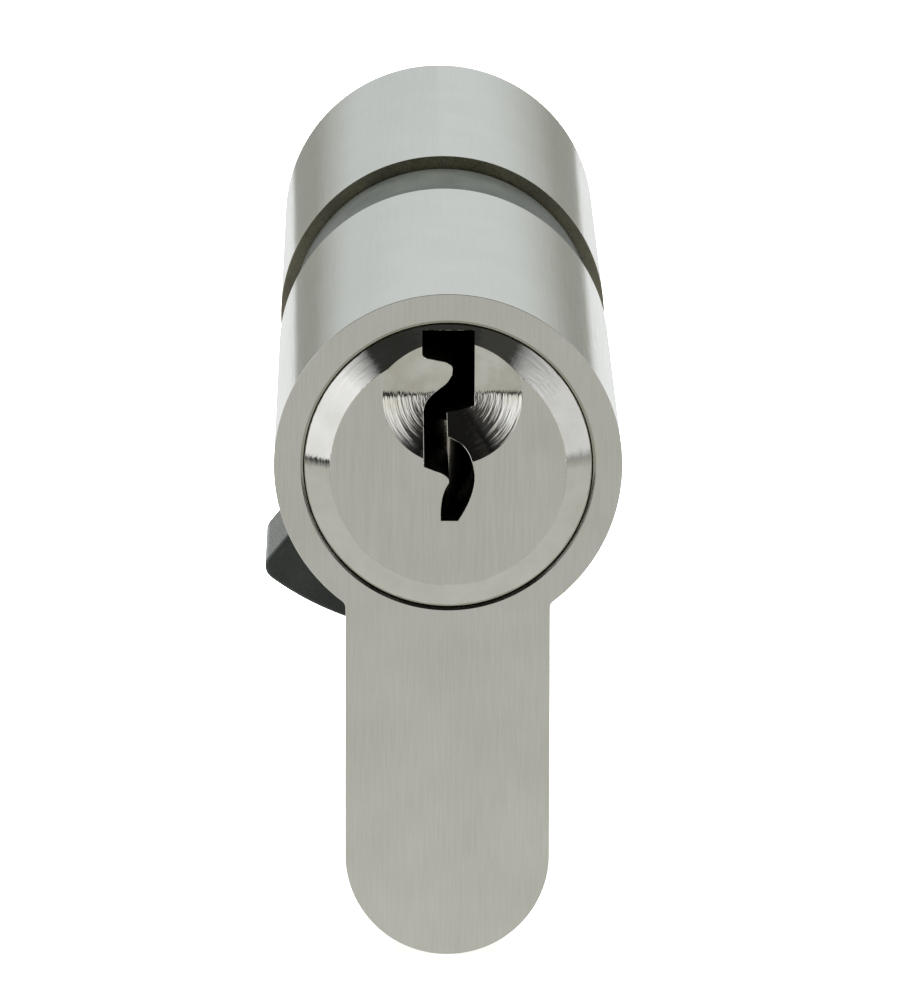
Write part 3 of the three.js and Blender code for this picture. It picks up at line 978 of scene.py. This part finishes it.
def winding_line(tree, given):
    """A spring's middle line, standing on the origin.

    Both end turns lie wire to wire, and the turns between them share the height that is left.
    """
    radius = given["Coil radius"]
    helix_inputs = {"Resolution": 32, "Rotations": given["Turns"], "Height": 1.0}
    helix_inputs.update({"Start Radius": radius, "End Radius": radius})
    helix = add(tree, "GeometryNodeCurveSpiral", helix_inputs).outputs["Curve"]
    share = add(tree, "GeometryNodeSplineParameter").outputs["Factor"]
    pitch_inputs = {0: given["Wire radius"], 1: CLOSED_PITCH}
    pitch = add(tree, "ShaderNodeMath", pitch_inputs, operation="MULTIPLY").outputs[0]
    closed_inputs = {0: pitch, 1: given["Turns"]}
    closed = add(tree, "ShaderNodeMath", closed_inputs, operation="MULTIPLY").outputs[0]
    left = add(tree, "ShaderNodeMath", {0: given["Height"], 1: closed}, operation="SUBTRACT")
    turn = add(tree, "ShaderNodeMath", {0: 1.0, 1: given["Turns"]}, operation="DIVIDE").outputs[0]
    last = add(tree, "ShaderNodeMath", {0: 1.0, 1: turn}, operation="SUBTRACT").outputs[0]
    rise_inputs = {"Value": share, "From Min": turn, "From Max": last, "To Max": left.outputs[0]}
    rise = add(tree, "ShaderNodeMapRange", rise_inputs, interpolation_type="SMOOTHSTEP")
    base = add(tree, "ShaderNodeMath", {0: share, 1: closed}, operation="MULTIPLY").outputs[0]
    height_inputs = {0: base, 1: rise.outputs["Result"]}
    height = add(tree, "ShaderNodeMath", height_inputs, operation="ADD").outputs[0]
    place = add(tree, "ShaderNodeSeparateXYZ", {0: add(tree, "GeometryNodeInputPosition").outputs[0]})
    lifted_inputs = {"X": place.outputs["X"], "Y": place.outputs["Y"], "Z": height}
    lifted = add(tree, "ShaderNodeCombineXYZ", lifted_inputs).outputs[0]
    return add(tree, "GeometryNodeSetPosition", {"Geometry": helix, "Position": lifted})


def spring_tree():
    """Geometry nodes for a compression spring with closed ends."""
    tree = bpy.data.node_groups.new("compression_spring", "GeometryNodeTree")
    tree.interface.new_socket("Spring", in_out="OUTPUT", socket_type="NodeSocketGeometry")
    for name in ("Turns", "Coil radius", "Wire radius", "Height"):
        tree.interface.new_socket(name, in_out="INPUT", socket_type="NodeSocketFloat")
    tree.interface.new_socket("Finish", in_out="INPUT", socket_type="NodeSocketMaterial")
    given = add(tree, "NodeGroupInput").outputs
    line = winding_line(tree, given).outputs["Geometry"]
    wire_inputs = {"Resolution": WIRE_STEPS, "Radius": given["Wire radius"]}
    wire = add(tree, "GeometryNodeCurvePrimitiveCircle", wire_inputs).outputs["Curve"]
    tube_inputs = {"Curve": line, "Profile Curve": wire, "Fill Caps": True}
    tube = add(tree, "GeometryNodeCurveToMesh", tube_inputs).outputs["Mesh"]
    real = add(tree, "GeometryNodeRealizeInstances", {"Geometry": tube}).outputs["Geometry"]
    finished_inputs = {"Geometry": real, "Material": given["Finish"]}
    finished = add(tree, "GeometryNodeSetMaterial", finished_inputs).outputs["Geometry"]
    add(tree, "NodeGroupOutput", {"Spring": finished})
    return tree


def wound(name, tree, sizes):
    """A plain mesh of a spring. sizes gives each of the tree's inputs by its name."""
    blank = bpy.data.objects.new(name, bpy.data.meshes.new(name))
    stage_collection.objects.link(blank)
    winding = blank.modifiers.new("winding", "NODES")
    winding.node_group = tree
    for item in tree.interface.items_tree:
        if item.name in sizes:
            winding[item.identifier] = sizes[item.name]
    graph = bpy.context.evaluated_depsgraph_get()
    coil = bpy.data.meshes.new_from_object(blank.evaluated_get(graph))
    bpy.data.objects.remove(blank)
    return coil


def springs():
    """The spring in each chamber."""
    tree = spring_tree()
    for side in SIDES:
        for number in PIN_NUMBERS:
            name = f"{side}_spring_{number}"
            low, high = cad(name)
            length = high.z - low.z
            sizes = {"Turns": float(SPRING_TURNS), "Coil radius": high.x - WIRE_R}
            sizes.update({"Wire radius": WIRE_R, "Height": length - 2 * WIRE_R, "Finish": WIRE_STEEL})
            coil = wound(name, tree, sizes)
            foot = Vector((0, pin_place(side, number), low.z - AXIS_Z + WIRE_R))
            coil.transform(Matrix.Translation(foot))
            piece = finish(name, coil, "housing", [WIRE_STEEL])
            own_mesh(piece)


housing()
plugs()
cam()
couplers()
clips()
pin_stacks()
springs()


# -------------------- studio


TABLE_GLOW = 0.7
TABLE_WHITE = "F4F4F2"
ROOM_GREY = "A0A29E"
LAMP_SIZE = 1.2  # the lamp's sizes are in metres and its power is in watts
LAMP_PLACE = (0, 0.05, 0.8)
LAMP_POWER = 32.0


def light_table(name, colour):
    """A plain pale surface, lit a little from below so that shadows stay faint."""
    material, tree = empty_material(name)
    surface = add(tree, "ShaderNodeBsdfDiffuse", {"Color": linear(colour)}).outputs[0]
    below = add(tree, "ShaderNodeEmission", {"Color": linear(colour), "Strength": TABLE_GLOW})
    both = add(tree, "ShaderNodeAddShader", {0: surface, 1: below.outputs[0]}).outputs[0]
    add(tree, "ShaderNodeOutputMaterial", {"Surface": both})
    return material


def glowing(name, colour, glow, fades=(), low_colour=None):
    """An even glow. Each fade is an axis, two places in millimetres and the share left at each.

    Colours are linear RGB. low_colour is the one where the first fade starts.
    """
    material, tree = empty_material(name)
    place = add(tree, "ShaderNodeTexCoord").outputs["Object"]
    split = add(tree, "ShaderNodeSeparateXYZ", {0: place})

    def fade(axis, start, end, first=0.0, last=1.0):
        inputs = {"Value": split.outputs[axis], "From Min": start * MM, "From Max": end * MM}
        inputs.update({"To Min": first, "To Max": last})
        return add(tree, "ShaderNodeMapRange", inputs).outputs["Result"]

    light = (*colour, 1.0)
    if low_colour:
        inputs = {0: fade(*fades[0][:3]), 6: (*low_colour, 1.0), 7: light}
        light = add(tree, "ShaderNodeMix", inputs, data_type="RGBA").outputs[2]
    strength = glow
    for step in fades:
        inputs = {0: fade(*step), 1: strength}
        strength = add(tree, "ShaderNodeMath", inputs, operation="MULTIPLY").outputs[0]
    surface = add(tree, "ShaderNodeEmission", {"Color": light, "Strength": strength})
    add(tree, "ShaderNodeOutputMaterial", {"Surface": surface.outputs[0]})
    material.cycles.emission_sampling = "NONE"
    return material


def sheet(name, corners, material):
    """A flat sheet through four corners, in the frame's millimetres."""
    mesh = bpy.data.meshes.new(name)
    mesh.from_pydata([Vector(corner) * MM for corner in corners], [], [(0, 1, 2, 3)])
    mesh.materials.append(material)
    flat = bpy.data.objects.new(name, mesh)
    stage_collection.objects.link(flat)
    return flat


def card(name, corners, colour, glow, fades=(), low_colour=None):
    """A studio card that only gives the metal something to mirror."""
    flat = sheet(name, corners, glowing(name + "_glow", colour, glow, fades, low_colour))
    flat.visible_camera = False
    flat.visible_diffuse = False
    flat.visible_shadow = False
    flat.visible_transmission = False
    flat.visible_volume_scatter = False


def backdrop(name, corners):
    """A far wall as white as the table, for a camera that stands low. It lights nothing."""
    wall = sheet(name, corners, glowing(name + "_glow", PLAIN, 1.0))
    wall.visible_diffuse = False
    wall.visible_glossy = False
    wall.visible_shadow = False
    wall.visible_transmission = False


def level(x0, x1, y0, y1, z):
    """Corners of a level sheet."""
    return [(x0, y0, z), (x1, y0, z), (x1, y1, z), (x0, y1, z)]


def standing_x(x, y0, y1, z0, z1):
    """Corners of an upright sheet that faces along X."""
    return [(x, y0, z0), (x, y1, z0), (x, y1, z1), (x, y0, z1)]


def standing_y(y, x0, x1, z0, z1):
    """Corners of an upright sheet that faces along Y."""
    return [(x0, y, z0), (x1, y, z0), (x1, y, z1), (x0, y, z1)]


# Linear RGB of the cards
PLAIN = (1.0, 1.0, 1.0)
PALE = (0.98, 1.0, 1.0)
FRONT_PALE = (0.99, 1.0, 1.0)
COOL = (1.0, 1.005, 1.08)
GREENISH = (0.955, 1.009, 1.02)
WARM = (1.03, 1.05, 0.95)
DARK_GLOW = 0.02

# Where sheets stand, in millimetres
FLOOR = FLOOR_Z - 0.02
CARD_FLOOR = FLOOR + 0.01
STRIP_FLOOR = FLOOR + 0.02
TABLE_HALF = 4000
WALL = 2500
CARD_REACH = 900
CARD_TOP = 420
SIDE_X = 122
SIDE_START = -118
SIDE_END = 300
LEFT_TOP = 158
RIGHT_TOP = 186
FLAG_Y = -320
FLAG_END = -20
FLAG_HALF = 172
NEAR_X = 100
NEAR_START = -250
NEAR_END = -100
LEFT_NEAR_TOP = 134
RIGHT_NEAR_TOP = 156


def table_cards():
    """What the metal sees of the table: greyer in front than behind."""
    front = level(-CARD_REACH, CARD_REACH, -CARD_REACH, FACE_Y, CARD_FLOOR)
    card("front_table", front, FRONT_PALE, 0.68, [("Y", -140, -36, 0.95, 1.07)])
    rear = level(-CARD_REACH, CARD_REACH, FACE_Y, CARD_REACH, CARD_FLOOR)
    card("rear_table", rear, PALE, 0.89)


def entry_cards():
    """White cards in front at the sides, for the key entries, with a dark strip before each."""
    strip = level(-NEAR_X, -78, NEAR_START, NEAR_END, STRIP_FLOOR)
    card("left_strip", strip, PLAIN, DARK_GLOW)
    left = standing_x(-NEAR_X, NEAR_START, NEAR_END, FLOOR, LEFT_NEAR_TOP)
    left_fades = [("Y", -178, -130, 0.04, 1.0), ("Z", 82, LEFT_NEAR_TOP, 1.0, 0.05)]
    card("left_near", left, COOL, 1.48, left_fades)
    strip = level(87, NEAR_X, NEAR_START, NEAR_END, STRIP_FLOOR)
    card("right_strip", strip, PLAIN, DARK_GLOW)
    right = standing_x(NEAR_X, NEAR_START, NEAR_END, 0, RIGHT_NEAR_TOP)
    right_fades = [("Y", -176, -131, 0.04, 1.0), ("Z", 63, RIGHT_NEAR_TOP, 1.0, 0.07)]
    card("right_near", right, COOL, 1.4, right_fades)
    gap = standing_x(NEAR_X, NEAR_START, NEAR_END, FLOOR, 0)
    card("right_near_gap", gap, PLAIN, DARK_GLOW)


def side_cards():
    """White cards at the sides, for the heads' chamfers, with dark gaps below and flags above."""
    gap = standing_x(-SIDE_X, SIDE_START, SIDE_END, FLOOR, 4.5)
    card("left_gap", gap, PLAIN, 1.0, [("Z", -4.2, 2, 0.62, 0.02)])
    left = standing_x(-SIDE_X, SIDE_START, SIDE_END, 4.5, LEFT_TOP)
    card("left_side", left, COOL, 1.23, [("Z", 95, LEFT_TOP, 1.0, 0.05)])
    flag = standing_x(-SIDE_X, FLAG_Y, FLAG_END, LEFT_TOP, CARD_TOP)
    card("left_flag", flag, PLAIN, 0.04)
    gap = standing_x(SIDE_X, SIDE_START, SIDE_END, FLOOR, 5)
    card("right_gap", gap, PLAIN, 1.0, [("Z", -4.2, 5, 0.66, 0.42)])
    right = standing_x(SIDE_X, SIDE_START, SIDE_END, 5, RIGHT_TOP)
    card("right_side", right, COOL, 0.97, [("Z", 5, 12, 0.46, 1.0), ("Z", 72, RIGHT_TOP, 1.0, 0.07)])
    flag = standing_x(SIDE_X, FLAG_Y, FLAG_END, RIGHT_TOP, CARD_TOP)
    card("right_flag", flag, PLAIN, 0.066)


def far_cards():
    """Dark flags above the front, and pale cards behind and above. They are darker near the table."""
    front = standing_y(FLAG_Y, -FLAG_HALF, FLAG_HALF, 60, CARD_TOP)
    card("front_flag", front, PLAIN, 0.015)
    roof = level(-FLAG_HALF, FLAG_HALF, FLAG_Y, -60, CARD_TOP)
    card("roof_flag", roof, PLAIN, 0.05)
    left = standing_y(230, -260, 0, FLOOR, CARD_TOP)
    left_fades = [("Z", 16, 42, 0.42, 0.875), ("Z", 56, 74, 1.0, 1.14)]
    card("left_back", left, GREENISH, 0.78, left_fades, WARM)
    right = standing_y(290, -20, 260, FLOOR, CARD_TOP)
    right_fades = [("Z", 20, 62, 0.42, 0.94), ("Z", 62, 86, 1.0, 1.06)]
    card("right_back", right, GREENISH, 0.78, right_fades, WARM)
    card("overhead_card", level(-350, 350, -50, 500, 700), PLAIN, 1.0)


def lamp():
    """One large soft light overhead, which the metal doesn't mirror."""
    data = bpy.data.lights.new("overhead", "AREA")
    data.shape = "SQUARE"
    data.size = LAMP_SIZE
    data.energy = LAMP_POWER
    overhead = bpy.data.objects.new("overhead", data)
    overhead.location = LAMP_PLACE
    overhead.visible_glossy = False
    stage_collection.objects.link(overhead)


def room():
    """An even pale grey all round."""
    world = bpy.data.worlds.new("studio")
    world.use_nodes = True
    background = world.node_tree.nodes["Background"]
    background.inputs["Color"].default_value = linear(ROOM_GREY)
    background.inputs["Strength"].default_value = 1.0
    bpy.context.scene.world = world


def studio():
    """A white table under a large soft light. Cards that only the metal sees give it its tones."""
    table = level(-TABLE_HALF, TABLE_HALF, -TABLE_HALF, TABLE_HALF, FLOOR)
    sheet("table_top", table, light_table("white_table", TABLE_WHITE))
    for side in (-WALL, WALL):
        backdrop(f"wall_at_x_{side}", standing_x(side, -WALL, WALL, FLOOR, WALL))
        backdrop(f"wall_at_y_{side}", standing_y(side, -WALL, WALL, FLOOR, WALL))
    table_cards()
    entry_cards()
    side_cards()
    far_cards()
    lamp()
    room()
    bpy.context.scene.view_settings.view_transform = "Standard"


studio()
